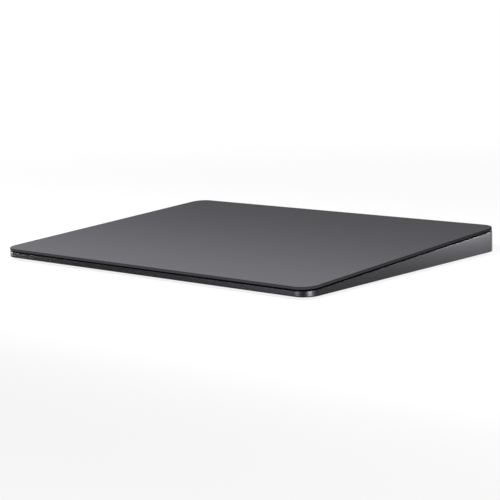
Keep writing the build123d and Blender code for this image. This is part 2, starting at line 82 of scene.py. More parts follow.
# The camera
CAMERA_PLACE = (0.403847, -0.437968, 0.100905)
CAMERA_HEADING, CAMERA_DIP, CAMERA_LEAN = radians(42.548), radians(9.374), radians(-1.88)
CAMERA_LENS = 109.879

# The low panels: name, what they face, shift from there, size and the setting of their power
LOW_PANELS = (
    ("right_panel", "near", (0.42, -0.165, 0.004), (0.16, 0.012), "right_power"),
    ("left_panel", "near", (-0.14, -0.427, 0.004), (0.17, 0.012), "left_power"),
    ("low_panel", "near", (-0.135, -0.147, 0.006), (0.05, 0.016), "low_power"),
    ("end_panel", "end", (-0.022, -0.011, 0.003), (0.01, 0.006), "end_power"),
    ("rear_panel", "far", (0.07, 0.076, 0.01), (0.03, 0.02), "rear_power"),
)
SIDES = (("front", 0, -1), ("rear", 0, 1), ("left", -1, 0), ("right", 1, 0))
SIDE_DISTANCE, SIDE_RISE, SIDE_PANEL = 0.4, 0.015, (0.25, 0.02)

case_low, case_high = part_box("lower_case")
window_low, window_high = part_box("aerial_window")
shell_low, shell_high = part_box("port_shell")
tray_low, tray_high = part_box("switch_tray")
knob_low, knob_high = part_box("switch_knob")
foot_low, foot_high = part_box("foot_front_left")


# Sizes and colours that a user would change

def length(name, default, description):
    return bpy.props.FloatProperty(
        name=name, default=default, description=description, unit="LENGTH", precision=5, min=0.0
    )


def colour(name, default, description):
    return bpy.props.FloatVectorProperty(
        name=name, default=default, description=description, subtype="COLOR", size=3, min=0.0, max=1.0
    )


def power(name, default):
    return bpy.props.FloatProperty(
        name=name, default=default, description=f"Power of the {name.lower()}", unit="POWER", min=0.0
    )


class PadSizes(bpy.types.PropertyGroup):
    front_height: length("Front height", 0.0049, "Height of the glass at the front edge")
    rear_height: length("Rear height", 0.0109, "Height the slope of the glass reaches at its rear edge")
    glass_setback: length("Glass setback", 0.00035, "How far the glass stops short of the tub at the rear")
    glass_thickness: length("Glass thickness", 0.00105, "Thickness of the glass")
    glass_round: length("Glass edge round", 0.00032, "Radius of the polished upper edge")
    glass_chamfer: length("Glass chamfer", 0.00012, "Chamfer on the lower edge of the glass")
    corner_radius: length("Corner radius", 0.006, "Radius of the four upright corners")
    rim_gap: length("Rim gap", 0.00055, "Gap between the glass and the tub's rim")
    rim_width: length("Rim width", 0.001, "Width of the tub's rim")
    rim_chamfer: length("Rim chamfer", 0.00012, "Softened outer edge of the rim")
    seal_depth: length("Seal depth", 0.00045, "Depth of the ledge that holds the dust seal")
    ledge_width: length("Ledge width", 0.0009, "Width of that ledge")
    floor_thickness: length("Floor thickness", 0.0009, "Thickness of the tub's floor")
    case_round: length("Lower edge round", 0.0004, "Radius along the tub's lower edge")
    foot_round: length("Foot round", 0.0003, "Rounded lower edge of the feet")
    foot_recess: length("Foot recess", 0.00035, "How far the feet are let into the tub")
    seam: length("Seam", 0.00004, "Fine seam round the window and the switch")


class PadColours(bpy.types.PropertyGroup):
    glass: colour("Glass", (0.1, 0.099, 0.1085), "Matt glass over its dark backing")
    glass_edge: colour("Glass edge", (0.042, 0.042, 0.0455), "Polished edge of the glass")
    case: colour("Case", (0.0103, 0.0102, 0.012), "Blasted and anodised aluminium")
    foot: colour("Feet", (0.045, 0.045, 0.047), "Rubber of the feet")
    window: colour("Aerial window", (0.012, 0.012, 0.013), "Moulded plastic round the port")
    knob: colour("Switch knob", (0.045, 0.045, 0.048), "Moulded knob of the power switch")
    indicator: colour("Indicator", (0.05, 0.45, 0.09), "Patch that the knob uncovers")


class StageSettings(bpy.types.PropertyGroup):
    floor_radius: length("Floor radius", 3.0, "Radius of the floor")
    surround: bpy.props.FloatProperty(
        name="Surround", default=0.25, min=0.0, description="Level of the soft light from all round"
    )
    front_power: power("Front strip", 0.85)
    right_power: power("Right panel", 14.5)
    left_power: power("Left panel", 5.0)
    low_power: power("Low panel", 0.12)
    rear_power: power("Rear panel", 0.46)
    end_power: power("End panel", 0.03)
    side_power: power("Side panels", 1.8)


# Placing on the sloping surface

def tilt(sizes):
    depth = case_high.y - case_low.y
    return atan2(sizes.rear_height - sizes.front_height, depth - sizes.glass_setback)


def surface_length(sizes):
    return (case_high.y - case_low.y - sizes.glass_setback) / cos(tilt(sizes))


def on_surface(sizes, below):
    """A point on the plane that lies this far below the glass top, and that plane's normal."""
    normal = Vector((0, -sin(tilt(sizes)), cos(tilt(sizes))))
    return Vector((0, case_low.y, sizes.front_height)) - normal * below, normal


def rim_level(sizes):
    return sizes.glass_thickness + sizes.rim_gap


# Mesh modelling

def pick_only(obj):
    bpy.ops.object.select_all(action="DESELECT")
    obj.select_set(True)
    bpy.context.view_layer.objects.active = obj


def settle(obj):
    """Puts the object's place into its mesh."""
    pick_only(obj)
    bpy.ops.object.transform_apply(location=True, rotation=True, scale=True)
    return obj


def new_block(name, low, high):
    low, high = Vector(low), Vector(high)
    bpy.ops.object.select_all(action="DESELECT")
    bpy.ops.mesh.primitive_cube_add(size=1, location=(low + high) / 2, scale=high - low)
    obj = bpy.context.object
    obj.name = name
    return settle(obj)


def new_disc(name, middle, radius, low, high, sides):
    bpy.ops.object.select_all(action="DESELECT")
    place = (middle[0], middle[1], (low + high) / 2)
    bpy.ops.mesh.primitive_cylinder_add(vertices=sides, radius=radius, depth=high - low, location=place)
    obj = bpy.context.object
    obj.name = name
    return settle(obj)


class Shaping:
    """Edit mode on one piece, with its faces or edges picked by their place."""

    def __init__(self, obj):
        self.obj = obj

    def __enter__(self):
        pick_only(self.obj)
        bpy.ops.object.mode_set(mode="EDIT")
        return self

    def __exit__(self, *error):
        bpy.ops.object.mode_set(mode="OBJECT")

    def pick(self, kind, test):
        bpy.ops.mesh.select_mode(type=kind)
        bpy.ops.mesh.select_all(action="DESELECT")
        mesh = bmesh.from_edit_mesh(self.obj.data)
        items = mesh.faces if kind == "FACE" else mesh.edges
        found = [item for item in items if test(item)]
        if not found:
            raise RuntimeError(f"nothing to pick on {self.obj.name}")
        for item in found:
            item.select_set(True)
        bmesh.update_edit_mesh(self.obj.data)

    def bevel(self, test, width, segments):
        self.pick("EDGE", test)
        bpy.ops.mesh.bevel(offset=width, segments=segments, affect="EDGES")

    def inset(self, width):
        bpy.ops.mesh.inset(thickness=width, use_even_offset=True)

    def pull(self, shift):
        bpy.ops.mesh.extrude_region_move(TRANSFORM_OT_translate={"value": shift})

    def trim(self, point, normal):
        """Takes off what lies beyond a plane, and closes the cut."""
        bpy.ops.mesh.select_all(action="SELECT")
        bpy.ops.mesh.bisect(plane_co=point, plane_no=normal, use_fill=True, clear_outer=True)


def along(axis):
    """Picks edges that run along an axis."""
    return lambda edge: abs((edge.verts[0].co - edge.verts[1].co).normalized()[axis]) > 0.999


def level(axis, place):
    """Picks what lies wholly at one place on an axis."""
    return lambda item: all(abs(v.co[axis] - place) < HAIR for v in item.verts)


def in_plane(point, normal):
    return lambda item: all(abs((v.co - point).dot(normal)) < HAIR for v in item.verts)


def new_pill(name, low, high, radius, segments=10):
    """A prism along Y whose section is a rounded rectangle."""
    obj = new_block(name, low, high)
    with Shaping(obj) as shape:
        shape.bevel(along(1), radius, segments)
    return obj


def cut_away(obj, cutter):
    pick_only(obj)
    cut = obj.modifiers.new("cut", "BOOLEAN")
    cut.operation = "DIFFERENCE"
    cut.solver = "EXACT"
    cut.object = cutter
    bpy.ops.object.modifier_apply(modifier=cut.name)
    bpy.data.objects.remove(cutter)


def merge(obj, others):
    pick_only(obj)
    for other in others:
        other.select_set(True)
    bpy.ops.object.join()
    return obj


def copy_of(obj, name, shift):
    pick_only(obj)
    bpy.ops.object.duplicate(linked=False)
    made = bpy.context.object
    made.name = name
    made.location = shift
    return settle(made)


def complete(obj, paint, body, slot, *nodes):
    """Smooths and paints a piece, puts it on its body and hides the parts it stands for."""
    pick_only(obj)
    bpy.ops.object.shade_smooth_by_angle(angle=radians(35))
    weight = obj.modifiers.new("weight", "WEIGHTED_NORMAL")
    weight.keep_sharp = True
    bpy.ops.object.modifier_apply(modifier=weight.name)
    obj.data.materials.clear()
    obj.data.materials.append(paint)
    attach(obj, body)
    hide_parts(*nodes)


# Materials

class Value:
    """A number that varies over a surface. Sums on it add Math nodes."""

    def __init__(self, paint, socket):
        self.paint = paint
        self.socket = socket

    def __add__(self, other):
        return self.paint.math("ADD", self, other)

    def __radd__(self, other):
        return self.paint.math("ADD", other, self)

    def __sub__(self, other):
        return self.paint.math("SUBTRACT", self, other)

    def __rsub__(self, other):
        return self.paint.math("SUBTRACT", other, self)

    def __mul__(self, other):
        return self.paint.math("MULTIPLY", self, other)

    def __rmul__(self, other):
        return self.paint.math("MULTIPLY", other, self)

    def __truediv__(self, other):
        return self.paint.math("DIVIDE", self, other)

    def __rtruediv__(self, other):
        return self.paint.math("DIVIDE", other, self)

    def __pow__(self, other):
        return self.paint.math("POWER", self, other)

    def __abs__(self):
        return self.paint.math("ABSOLUTE", self)


class Paint:
    """A node material on the place of each point in the frame of the model."""

    def __init__(self, name):
        self.material = bpy.data.materials.new(name)
        self.material.use_nodes = True
        self.tree = self.material.node_tree
        self.tree.nodes.clear()
        self.place = self.put("ShaderNodeTexCoord").outputs["Object"]

    def put(self, kind, settings=None, inputs=None):
        """Adds a node, with its settings first and then the values or links of its sockets."""
        made = self.tree.nodes.new(kind)
        for name, setting in (settings or {}).items():
            if name == "stops":
                self.set_stops(made.color_ramp, setting)
            else:
                setattr(made, name, setting)
        for name, given in (inputs or {}).items():
            given = given.socket if isinstance(given, Value) else given
            if isinstance(given, bpy.types.NodeSocket):
                self.tree.links.new(given, made.inputs[name])
            else:
                made.inputs[name].default_value = given
        return made

    def set_stops(self, ramp, stops):
        while len(ramp.elements) < len(stops):
            ramp.elements.new(1.0)
        for element, (place, shade) in zip(ramp.elements, stops):
            element.position = place
            element.color = (*shade, 1.0)

    def value(self, node, output=0):
        return Value(self, node.outputs[output])

    def math(self, operation, *terms):
        inputs = dict(enumerate(terms))
        return self.value(self.put("ShaderNodeMath", {"operation": operation}, inputs))

    def noise(self, scale, detail=2.0, place=None):
        inputs = {"Vector": place or self.place, "Scale": scale, "Detail": detail}
        return self.value(self.put("ShaderNodeTexNoise", None, inputs))

    def cells(self, scale, place=None):
        inputs = {"Vector": place or self.place, "Scale": scale}
        return self.value(self.put("ShaderNodeTexVoronoi", None, inputs), "Distance")

    def bands(self, direction, period, place=None, waver=0.0):
        settings = {"wave_type": "BANDS", "bands_direction": direction}
        inputs = {"Vector": place or self.place, "Scale": pi / (10 * period), "Distortion": waver}
        return self.value(self.put("ShaderNodeTexWave", settings, inputs), "Fac")

    def mapped(self, location=(0, 0, 0), rotation=(0, 0, 0), scale=(1, 1, 1), kind="POINT"):
        inputs = {"Vector": self.place, "Location": location, "Rotation": rotation, "Scale": scale}
        return self.put("ShaderNodeMapping", {"vector_type": kind}, inputs).outputs[0]

    def axes(self, place=None):
        split = self.put("ShaderNodeSeparateXYZ", None, {0: place or self.place})
        return [self.value(split, i) for i in range(3)]

    def step(self, value, low, high):
        """Rises smoothly from 0 to 1 as the value goes from low to high."""
        inputs = {"Value": value, "From Min": low, "From Max": high}
        return self.value(self.put("ShaderNodeMapRange", {"interpolation_type": "SMOOTHSTEP"}, inputs))

    def shade(self, tone, amount):
        """A colour made lighter or darker by a value."""
        inputs = {0: tuple(tone), "Scale": amount}
        return self.put("ShaderNodeVectorMath", {"operation": "SCALE"}, inputs).outputs[0]

    def mix(self, factor, first, second):
        colours = [c if isinstance(c, bpy.types.NodeSocket) else (*c, 1.0) for c in (first, second)]
        inputs = {0: factor, 6: colours[0], 7: colours[1]}
        return self.put("ShaderNodeMix", {"data_type": "RGBA"}, inputs).outputs[2]

    def relief(self, height, depth, strength=1.0, under=None):
        """The normal of a surface that stands up by depth where the height is 1."""
        inputs = {"Strength": strength, "Distance": depth, "Height": height}
        if under is not None:
            inputs["Normal"] = under
        return self.put("ShaderNodeBump", None, inputs).outputs[0]

    def surface(self, inputs):
        shader = self.put("ShaderNodeBsdfPrincipled", None, inputs)
        self.put("ShaderNodeOutputMaterial", None, {"Surface": shader.outputs[0]})
        return self.material


def matt_glass(sizes, colours):
    """Etched glass over a dark backing, with a polished edge all round; the edge's upper round is painted
    darker than its upright wall, as painted shade.
    """
    paint = Paint("matt_glass")
    place = paint.mapped((0, case_low.y, sizes.front_height), (tilt(sizes), 0, 0), kind="TEXTURE")
    depth = -1.0 * paint.axes(place)[2]
    edge = paint.step(depth, 0.00001, 0.00009)
    # Painted shade: this mask keeps the polished edge darker along its upper round and lighter on its
    # upright wall.
    wall = paint.step(depth, sizes.glass_round * 0.75, sizes.glass_round * 1.05)
    etching = paint.noise(9000, 2.0)
    handling = paint.noise(24, 4.0)
    top = paint.shade(colours.glass, 0.97 + etching * 0.03 + handling * 0.03)
    side = paint.shade(colours.glass_edge, 0.55 + wall * 0.5 + handling * 0.04)
    return paint.surface({
        "Base Color": paint.mix(edge, top, side),
        "Roughness": (0.62 + (handling - 0.5) * 0.06) * (1 - edge) + edge * (0.3 + handling * 0.04),
        "Specular IOR Level": 0.012,
        "Normal": paint.relief(etching * (1 - edge), 0.0000012, 0.6),
    })


def anodised(colours):
    """Bead-blasted, anodised aluminium: a fine even grain with a slow drift."""
    paint = Paint("anodised_case")
    grain = paint.noise(5200, 3.0)
    drift = paint.noise(30, 3.0)
    return paint.surface({
        "Base Color": paint.shade(colours.case, 0.95 + grain * 0.06 + drift * 0.04),
        "Metallic": 1.0,
        "Roughness": 0.3 + (grain - 0.5) * 0.04 + (drift - 0.5) * 0.04,
        "Normal": paint.relief(grain, 0.000002, 0.2),
    })


def metal(name, tone, roughness, stretch, scale=900, variety=0.12):
    """Rolled, drawn or plated metal, with fine lines along one axis."""
    paint = Paint(name)
    lines = paint.noise(scale, 4.0, paint.mapped(scale=stretch))
    drift = paint.noise(70, 2.0)
    return paint.surface({
        "Base Color": paint.shade(tone, 1 - variety / 2 + lines * variety),
        "Metallic": 1.0,
        "Roughness": roughness + (lines - 0.5) * 0.14 + (drift - 0.5) * 0.08,
        "Normal": paint.relief(lines, 0.000004, 0.5),
    })


def moulded(name, tone, roughness, grain_scale=2600, grain_depth=0.000006):
    """Moulded plastic or rubber with a fine sparked grain."""
    paint = Paint(name)
    grain = paint.cells(grain_scale)
    drift = paint.noise(60, 3.0)
    return paint.surface({
        "Base Color": paint.shade(tone, 0.9 + grain * 0.12 + drift * 0.08),
        "Roughness": roughness + (grain - 0.5) * 0.1 + (drift - 0.5) * 0.1,
        "Normal": paint.relief(grain, grain_depth, 0.6),
    })


def board():
    """Solder-masked laminate with tracks and plated holes."""
    paint = Paint("circuit_board")
    weave = paint.noise(1800, 2.0)
    route = paint.noise(160, 1.0)
    tracks = paint.step(abs(paint.math("SINE", route * 150)), 0.86, 0.98)
    holes = 1 - paint.step(paint.cells(620), 0.12, 0.17)
    mask = paint.mix(tracks, (0.008, 0.022, 0.016), (0.014, 0.045, 0.03))
    return paint.surface({
        "Base Color": paint.mix(holes, mask, (0.62, 0.44, 0.16)),
        "Metallic": holes,
        "Roughness": 0.42 + (weave - 0.5) * 0.16 - holes * 0.1,
        "Normal": paint.relief(tracks + weave * 0.2, 0.000012, 0.7),
    })


def ribbon():
    """Amber film with copper conductors that run to the board."""
    paint = Paint("ribbon_film")
    wires = paint.step(paint.bands("X", 0.0005), 0.35, 0.6)
    film = paint.noise(300, 3.0)
    tone = paint.mix(wires, (0.2, 0.075, 0.018), (0.36, 0.17, 0.06))
    return paint.surface({
        "Base Color": tone,
        "Roughness": 0.34 + (film - 0.5) * 0.14,
        "Normal": paint.relief(wires + film * 0.3, 0.00001, 0.6),
    })


def sensing_film():
    """Foil strain gauges: a fine meander on an amber film."""
    paint = Paint("sensor_film")
    foil = paint.step(paint.bands("Y", 0.00024, None, 0.2), 0.45, 0.6)
    film = paint.noise(500, 2.0)
    return paint.surface({
        "Base Color": paint.mix(foil, (0.34, 0.17, 0.04), (0.55, 0.5, 0.44)),
        "Metallic": foil,
        "Roughness": 0.4 + (film - 0.5) * 0.16,
        "Normal": paint.relief(foil, 0.000006, 0.6),
    })


def winding():
    """Enamelled copper wire wound round the three poles of the core, painted lighter on each turn's crest
    and darker between turns as painted highlight and shade.
    """
    paint = Paint("copper_winding")
    low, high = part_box("drive_coils")
    x, y, z = paint.axes()
    pitch = (high.x - low.x) * 0.3535
    turn = abs(paint.math("WRAP", x, pitch / 2, -pitch / 2))
    reach = abs(y - (low.y + high.y) / 2)
    ring = paint.math("MAXIMUM", turn - 0.006, reach - 0.002)
    wires = 0.5 + 0.5 * paint.math("SINE", (ring + z) * (2 * pi / 0.00016))
    stain = paint.noise(260, 3.0)
    return paint.surface({
        # Painted highlight and painted shade: the colour rises on the crest of each turn and falls in the
        # grooves between turns.
        "Base Color": paint.shade((0.66, 0.27, 0.1), 0.55 + wires * 0.4 + stain * 0.1),
        "Metallic": 1.0,
        "Roughness": 0.3 + (1 - wires) * 0.25 + (stain - 0.5) * 0.1,
        "Normal": paint.relief(wires, 0.00004, 0.8),
    })


def pouch():
    """Laminated foil round the cell, creased and slightly quilted."""
    paint = Paint("battery_pouch")
    creases = paint.noise(140, 5.0)
    quilting = paint.cells(1400)
    return paint.surface({
        "Base Color": paint.shade((0.03, 0.03, 0.033), 0.8 + creases * 0.5),
        "Metallic": 0.35,
        "Roughness": 0.36 + (creases - 0.5) * 0.3,
        "Normal": paint.relief(creases + quilting * 0.15, 0.00006, 0.5),
    })


def tape():
    """White stretch-release tape with a faint lengthwise grain."""
    paint = Paint("adhesive_tape")
    fibres = paint.noise(700, 4.0, paint.mapped(scale=(1, 0.08, 1)))
    return paint.surface({
        "Base Color": paint.shade((0.7, 0.7, 0.68), 0.88 + fibres * 0.16),
        "Roughness": 0.55 + (fibres - 0.5) * 0.2,
        "Normal": paint.relief(fibres, 0.00001, 0.6),
    })


def foam():
    """Closed-cell black foam that keeps dust out of the gap."""
    paint = Paint("black_foam")
    pores = paint.cells(5200)
    depth = paint.noise(900, 3.0)
    return paint.surface({
        "Base Color": paint.shade((0.0035, 0.0035, 0.004), 0.5 + pores * 0.8),
        "Roughness": 0.9 + (depth - 0.5) * 0.1,
        "Specular IOR Level": 0.1,
        "Normal": paint.relief(pores + depth * 0.5, 0.00003, 0.8),
    })


def gel():
    """Clear-grey silicone gel, faintly cloudy."""
    paint = Paint("gel_rubber")
    cloud = paint.noise(420, 4.0)
    return paint.surface({
        "Base Color": paint.shade((0.4, 0.41, 0.42), 0.85 + cloud * 0.3),
        "Roughness": 0.26 + (cloud - 0.5) * 0.16,
        "Normal": paint.relief(cloud, 0.000012, 0.5),
    })


def rubber(colours):
    """Moulded rubber of the feet, matt and slightly dusty towards the rim."""
    paint = Paint("foot_rubber")
    grain = paint.cells(2200)
    dust = paint.noise(180, 4.0)
    height = paint.axes()[2]
    worn = 1 - paint.step(height, 0.0, 0.00035)
    tone = paint.shade(colours.foot, 0.9 + grain * 0.15 + dust * 0.15)
    return paint.surface({
        "Base Color": paint.mix(worn * 0.25, tone, (0.075, 0.074, 0.072)),
        "Roughness": 0.68 + (grain - 0.5) * 0.1 - worn * 0.08 + (dust - 0.5) * 0.1,
        "Normal": paint.relief(grain + dust * 0.5, 0.00001, 0.6),
    })


def inner_finishes():
    """Finish of each material slot whose solids are shown as they are."""
    across, lengthways, even = (0.06, 1, 1), (1, 0.06, 1), (1, 1, 1)
    return {
        "plain_aluminium": metal("plain_aluminium", (0.58, 0.58, 0.59), 0.36, across),
        "spring_steel": metal("spring_steel", (0.42, 0.42, 0.44), 0.3, across),
        "plain_steel": metal("plain_steel", (0.34, 0.34, 0.36), 0.38, lengthways),
        "plated_steel": metal("plated_steel", (0.62, 0.61, 0.6), 0.2, even, 1500, 0.06),
        "gold_contacts": metal("gold_contacts", (0.78, 0.54, 0.2), 0.24, lengthways, 2400, 0.08),
        "circuit_board": board(),
        "chip_resin": moulded("chip_resin", (0.018, 0.018, 0.019), 0.4, 4200, 0.000004),
        "connector_plastic": moulded("connector_plastic", (0.028, 0.028, 0.028), 0.5),
        "sensor_film": sensing_film(),
        "ribbon_film": ribbon(),
        "copper_winding": winding(),
        "battery_pouch": pouch(),
        "adhesive_tape": tape(),
        "black_foam": foam(),
        "gel_rubber": gel(),
    }


# The stage

def set_camera():
    """Sets the camera by its heading, its dip below the horizon and its lean."""
    heading, dip, lean = CAMERA_HEADING, CAMERA_DIP, CAMERA_LEAN
    ahead = Vector((-sin(heading) * cos(dip), cos(heading) * cos(dip), -sin(dip)))
    side = Vector((cos(heading), sin(heading), 0))
    over = side.cross(ahead)
    right = side * cos(lean) + over * sin(lean)
    up = over * cos(lean) - side * sin(lean)
    bpy.ops.object.select_all(action="DESELECT")
    bpy.ops.object.camera_add()
    camera = bpy.context.object
    camera.name = "camera"
    turn = Matrix((right, up, -ahead)).transposed()
    camera.matrix_world = Matrix.Translation(CAMERA_PLACE) @ turn.to_4x4()
    camera.data.sensor_width = 36.0
    camera.data.lens = CAMERA_LENS
    camera.data.clip_start = 0.01
    camera.data.clip_end = 50.0
    bpy.context.scene.camera = camera


def set_lamp(name, place, target, size, power):
    """A soft rectangular panel that faces a point and stays out of every picture."""
    bpy.ops.object.select_all(action="DESELECT")
    bpy.ops.object.light_add(type="AREA", location=place)
    lamp = bpy.context.object
    lamp.name = name
    lamp.data.shape = "RECTANGLE"
    lamp.data.size, lamp.data.size_y = size
    lamp.data.energy = power
    lamp.visible_camera = False
    aim = Vector(target) - Vector(place)
    lamp.rotation_euler = aim.to_track_quat("-Z", "Y").to_euler()
    return lamp


def set_low_panels(settings):
    """Low panels that light the tub's walls and nothing else."""
    corners = {
        "near": Vector((case_high.x, case_low.y, 0.003)),
        "far": Vector((case_high.x, case_high.y, 0.006)),
        "end": Vector((case_low.x, case_low.y, 0.003)),
    }
    lamps = []
    for name, corner, shift, size, setting in LOW_PANELS:
        target = corners[corner]
        lamps.append(set_lamp(name, target + Vector(shift), target, size, getattr(settings, setting)))
    middle = (case_low + case_high) / 2
    for name, x, y in SIDES:
        wall = Vector((x * case_high.x, y * case_high.y, middle.z))
        place = wall + Vector((x * SIDE_DISTANCE, y * SIDE_DISTANCE, SIDE_RISE))
        lamps.append(set_lamp(name + "_side_panel", place, wall, SIDE_PANEL, settings.side_power))
    walls = bpy.data.collections.new("lit_walls")
    walls.objects.link(bpy.data.objects["case_tub"])
    for lamp in lamps:
        lamp.light_linking.receiver_collection = walls


def background_rays(tree):
    """1 on the rays that show the background: those of the camera, of gloss and through glass."""
    path = tree.nodes.new("ShaderNodeLightPath")
    total = path.outputs["Is Camera Ray"]
    for name in ("Is Glossy Ray", "Is Transmission Ray"):
        both = tree.nodes.new("ShaderNodeMath")
        both.operation = "MAXIMUM"
        tree.links.new(total, both.inputs[0])
        tree.links.new(path.outputs[name], both.inputs[1])
        total = both.outputs[0]
    return total


def set_world(settings):
    world = bpy.data.worlds.new("studio")
    world.use_nodes = True
    tree = world.node_tree
    tree.nodes.clear()
    plain = tree.nodes.new("ShaderNodeBackground")
    plain.inputs["Color"].default_value = (1, 1, 1, 1)
    plain.inputs["Strength"].default_value = settings.surround
    shown = tree.nodes.new("ShaderNodeBackground")
    shown.inputs["Color"].default_value = (1, 1, 1, 1)
    shown.inputs["Strength"].default_value = 1.0
    choice = tree.nodes.new("ShaderNodeMixShader")
    tree.links.new(background_rays(tree), choice.inputs[0])
    tree.links.new(plain.outputs[0], choice.inputs[1])
    tree.links.new(shown.outputs[0], choice.inputs[2])
    output = tree.nodes.new("ShaderNodeOutputWorld")
    tree.links.new(choice.outputs[0], output.inputs[0])
    bpy.context.scene.world = world


def set_floor(settings):
    """A plain pale floor that shows white and keeps a faint shadow."""
    bpy.ops.object.select_all(action="DESELECT")
    bpy.ops.mesh.primitive_circle_add(vertices=96, radius=settings.floor_radius, fill_type="NGON")
    floor = bpy.context.object
    floor.name = "floor"
    paint = Paint("pale_floor")
    speck = paint.noise(90, 3.0)
    card = {"Color": paint.shade((0.82, 0.82, 0.82), 0.98 + speck * 0.03), "Roughness": 0.9}
    real = paint.put("ShaderNodeBsdfDiffuse", None, card)
    faint = paint.put("ShaderNodeBsdfDiffuse", None, {"Color": (0.2, 0.2, 0.2, 1), "Roughness": 0.9})
    glow = paint.put("ShaderNodeEmission", None, {"Color": (1, 1, 1, 1), "Strength": 0.86})
    near = paint.put("ShaderNodeAddShader", None, {0: faint.outputs[0], 1: glow.outputs[0]})
    white = paint.put("ShaderNodeEmission", None, {"Color": (1, 1, 1, 1), "Strength": 1.0})
    distance = paint.put("ShaderNodeVectorMath", {"operation": "LENGTH"}, {0: paint.place})
    away = paint.step(paint.value(distance, "Value"), 0.2, 0.5)
    shown = paint.put("ShaderNodeMixShader", None, {0: away, 1: near.outputs[0], 2: white.outputs[0]})
    rays = background_rays(paint.tree)
    both = {0: rays, 1: real.outputs[0], 2: shown.outputs[0]}
    choice = paint.put("ShaderNodeMixShader", None, both)
    paint.put("ShaderNodeOutputMaterial", None, {"Surface": choice.outputs[0]})
    floor.data.materials.append(paint.material)


class PAD_OT_stage(bpy.types.Operator):
    """Sets the floor, the soft studio light and the camera"""

    bl_idname = "pad.stage"
    bl_label = "Stage"

    def execute(self, context):
        settings = context.scene.pad_stage
        scene = context.scene
        scene.view_settings.view_transform = "Standard"
        set_world(settings)
        set_floor(settings)
        set_camera()
        set_lamp("front_strip", (0, -0.095, 0.09), (0, -0.03, 0), (0.9, 0.08), settings.front_power)
        set_low_panels(settings)
        return {"FINISHED"}


# The pieces

class PAD_OT_glass(bpy.types.Operator):
    """Models the glass plate with its rounded, polished edge"""

    bl_idname = "pad.glass"
    bl_label = "Touch glass"

    def execute(self, context):
        sizes, colours = context.scene.pad_sizes, context.scene.pad_colours
        half = case_high.x
        run = surface_length(sizes)
        plate = new_block("touch_glass", (-half, 0, -sizes.glass_thickness), (half, run, 0))
        with Shaping(plate) as shape:
            shape.bevel(along(2), sizes.corner_radius, 24)
            shape.bevel(level(2, 0), sizes.glass_round, 8)
            shape.bevel(level(2, -sizes.glass_thickness), sizes.glass_chamfer, 3)
        plate.rotation_euler = (tilt(sizes), 0, 0)
        plate.location = (0, case_low.y, sizes.front_height)
        settle(plate)
        complete(plate, matt_glass(sizes, colours), "surface", "touch_glass", "glass_plate")
        return {"FINISHED"}


class PAD_OT_case(bpy.types.Operator):
    """Models the metal tub: outside, rim, ledge, floor, seats and the openings in its rear wall"""

    bl_idname = "pad.case"
    bl_label = "Metal tub"

    def seats(self, sizes, floor_top):
        """The seats of the corner springs and of the haptic drive, and the board's standoffs."""
        made = []
        for i, name in enumerate(CORNERS):
            low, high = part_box("force_spring_" + name)
            outer = high.x if high.x > 0 else low.x
            inner = outer - SEAT_LENGTH if outer > 0 else outer + SEAT_LENGTH
            across = sorted((inner, outer))
            made.append(self.seat(sizes, f"seat_{i}", across, (low.y, high.y), SPRING_SEAT_DEPTH))
        low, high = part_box("drive_plate")
        made.append(self.seat(sizes, "drive_seat", (low.x, high.x), (low.y, high.y), DRIVE_SEAT_DEPTH))
        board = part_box("logic_board")[0].z
        low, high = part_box("board_screws")
        for x in (low.x + SCREW_HEAD_RADIUS, high.x - SCREW_HEAD_RADIUS):
            for y in (low.y + SCREW_HEAD_RADIUS, high.y - SCREW_HEAD_RADIUS):
                post = new_disc("post", (x, y), POST_RADIUS, floor_top - 0.0002, board, 32)
                with Shaping(post) as shape:
                    shape.bevel(level(2, board), 0.00015, 2)
                made.append(post)
        return made

    def seat(self, sizes, name, across, back, below):
        """A block between two places on X and on Y, cut along the slope this far below the glass top."""
        block = new_block(name, (across[0], back[0], SEAT_BOTTOM), (across[1], back[1], SEAT_TOP))
        with Shaping(block) as shape:
            shape.trim(*on_surface(sizes, below))
        return block

    def execute(self, context):
        sizes, colours = context.scene.pad_sizes, context.scene.pad_colours
        floor_top = case_low.z + sizes.floor_thickness
        top = sizes.rear_height
        tub = new_block("case_tub", case_low, (case_high.x, case_high.y, top))
        point, normal = on_surface(sizes, rim_level(sizes))
        with Shaping(tub) as shape:
            shape.bevel(along(2), sizes.corner_radius, 24)
            shape.bevel(level(2, case_low.z), sizes.case_round, 6)
            shape.trim(point, normal)
            shape.bevel(in_plane(point, normal), sizes.rim_chamfer, 3)
            shape.pick("FACE", in_plane(point, normal))
            shape.inset(sizes.rim_width - sizes.rim_chamfer)
            shape.pull((0, 0, -sizes.seal_depth / cos(tilt(sizes))))
            shape.inset(sizes.ledge_width)
            shape.pull((0, 0, -sizes.floor_thickness))
            bpy.ops.transform.resize(value=(1, 1, 0), center_override=(0, 0, floor_top))
        deep = case_high.y - 0.004
        for low, high, radius in (
            (window_low, window_high, 0.00185),
            (tray_low, tray_high, 0.0013),
        ):
            far = (high.x, case_high.y + PROUD, high.z)
            cut_away(tub, new_pill("cutter", (low.x, deep, low.z), far, radius))
        for name in CORNERS:
            low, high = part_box("foot_" + name)
            middle = (low + high) / 2
            radius = (high.x - low.x) / 2 + 0.0001
            cut_away(tub, new_disc("cutter", middle, radius, 0, case_low.z + sizes.foot_recess, 96))
        merge(tub, self.seats(sizes, floor_top))
        complete(tub, anodised(colours), "base", "anodised_case", "lower_case")
        return {"FINISHED"}


